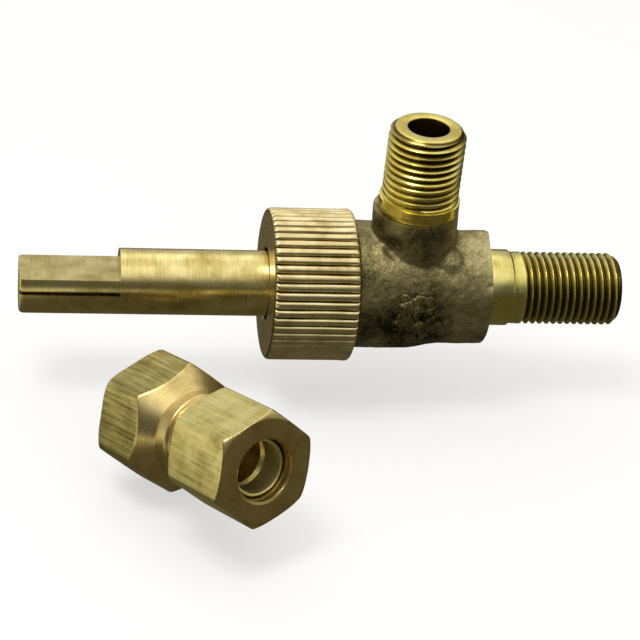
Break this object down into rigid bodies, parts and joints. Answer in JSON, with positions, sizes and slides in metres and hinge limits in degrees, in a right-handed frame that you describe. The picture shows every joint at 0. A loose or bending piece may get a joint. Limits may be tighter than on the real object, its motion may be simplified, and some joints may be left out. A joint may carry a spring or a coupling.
{
  "type": "needle valve",
  "caption": "Small brass needle valve for gas with a slotted D-shaped stem, knurled packing nut, threaded inlet and outlet, and a loose compression fitting.",
  "frame": {"origin": "centre of the male inlet thread, on its axis, level with the middle thread ridge", "axes": "+Z out of the inlet along its axis; +X along the stem axis from the knob end to the outlet"},
  "size_m": [0.0783, 0.0524, 0.0386],
  "materials": {
    "cast_brass": "as-cast, grainy, tarnished",
    "turned_brass": "turned, fine rings",
    "knurled_brass": "knurled and worn bright on the ridges",
    "drawn_brass": "drawn bar with lengthwise streaks",
    "bright_brass": "bright machined",
    "seat_brass": "machined",
    "needle_steel": "ground",
    "white_plastic": "smooth PTFE"
  },
  "bodies": {
    "valve": {"valve_body": "cast_brass", "seat_ring": "seat_brass", "thrust_washer_inner": "white_plastic", "thrust_washer_outer": "white_plastic", "packing_washer": "seat_brass", "packing_ring_inner": "white_plastic", "packing_ring_outer": "white_plastic"},
    "stem": {"stem": "turned_brass"},
    "needle": {"needle_spindle": "seat_brass", "needle_tip": "needle_steel"},
    "gland": {"gland_follower": "seat_brass"},
    "nut": {"knurled_nut": "knurled_brass"},
    "fitting": {"fitting_body": "drawn_brass"},
    "sleeve": {"ferrule": "bright_brass"},
    "tube_nut": {"compression_nut": "drawn_brass"}
  },
  "joints": [
    {"name": "stem_turn", "type": "hinge", "parent": "valve", "child": "stem", "pos_m": [-0.03, 0, -0.01803], "axis": [-1, 0, 0], "range_deg": [0, 720]},
    {"name": "needle_lift", "type": "slide", "parent": "stem", "child": "needle", "axis": [-1, 0, 0], "range_m": [0, 0.00181]},
    {"name": "nut_slide", "type": "slide", "parent": "valve", "child": "gland", "axis": [-1, 0, 0], "range_m": [0, 0.00689]},
    {"name": "nut_turn", "type": "hinge", "parent": "gland", "child": "nut", "pos_m": [-0.012, 0, -0.01803], "axis": [-1, 0, 0], "range_deg": [0, 2340]},
    {"name": "fitting_lift", "type": "slide", "parent": "valve", "child": "fitting", "axis": [0, 0, 1], "range_m": [0, 0.03]},
    {"name": "tube_nut_slide", "type": "slide", "parent": "fitting", "child": "sleeve", "axis": [0.4799, -0.8447, 0.2369], "range_m": [0, 0.0053]},
    {"name": "tube_nut_turn", "type": "hinge", "parent": "sleeve", "child": "tube_nut", "pos_m": [-0.02586, -0.03363, -0.02157], "axis": [0.4799, -0.8447, 0.2369], "range_deg": [0, 1800]}
  ],
  "couplings": [
    {"joint": "needle_lift", "follows": "stem_turn", "m_per_rad": 0.00014438},
    {"joint": "nut_slide", "follows": "nut_turn", "m_per_rad": 0.00016844},
    {"joint": "tube_nut_slide", "follows": "tube_nut_turn", "m_per_rad": 0.00016844}
  ]
}
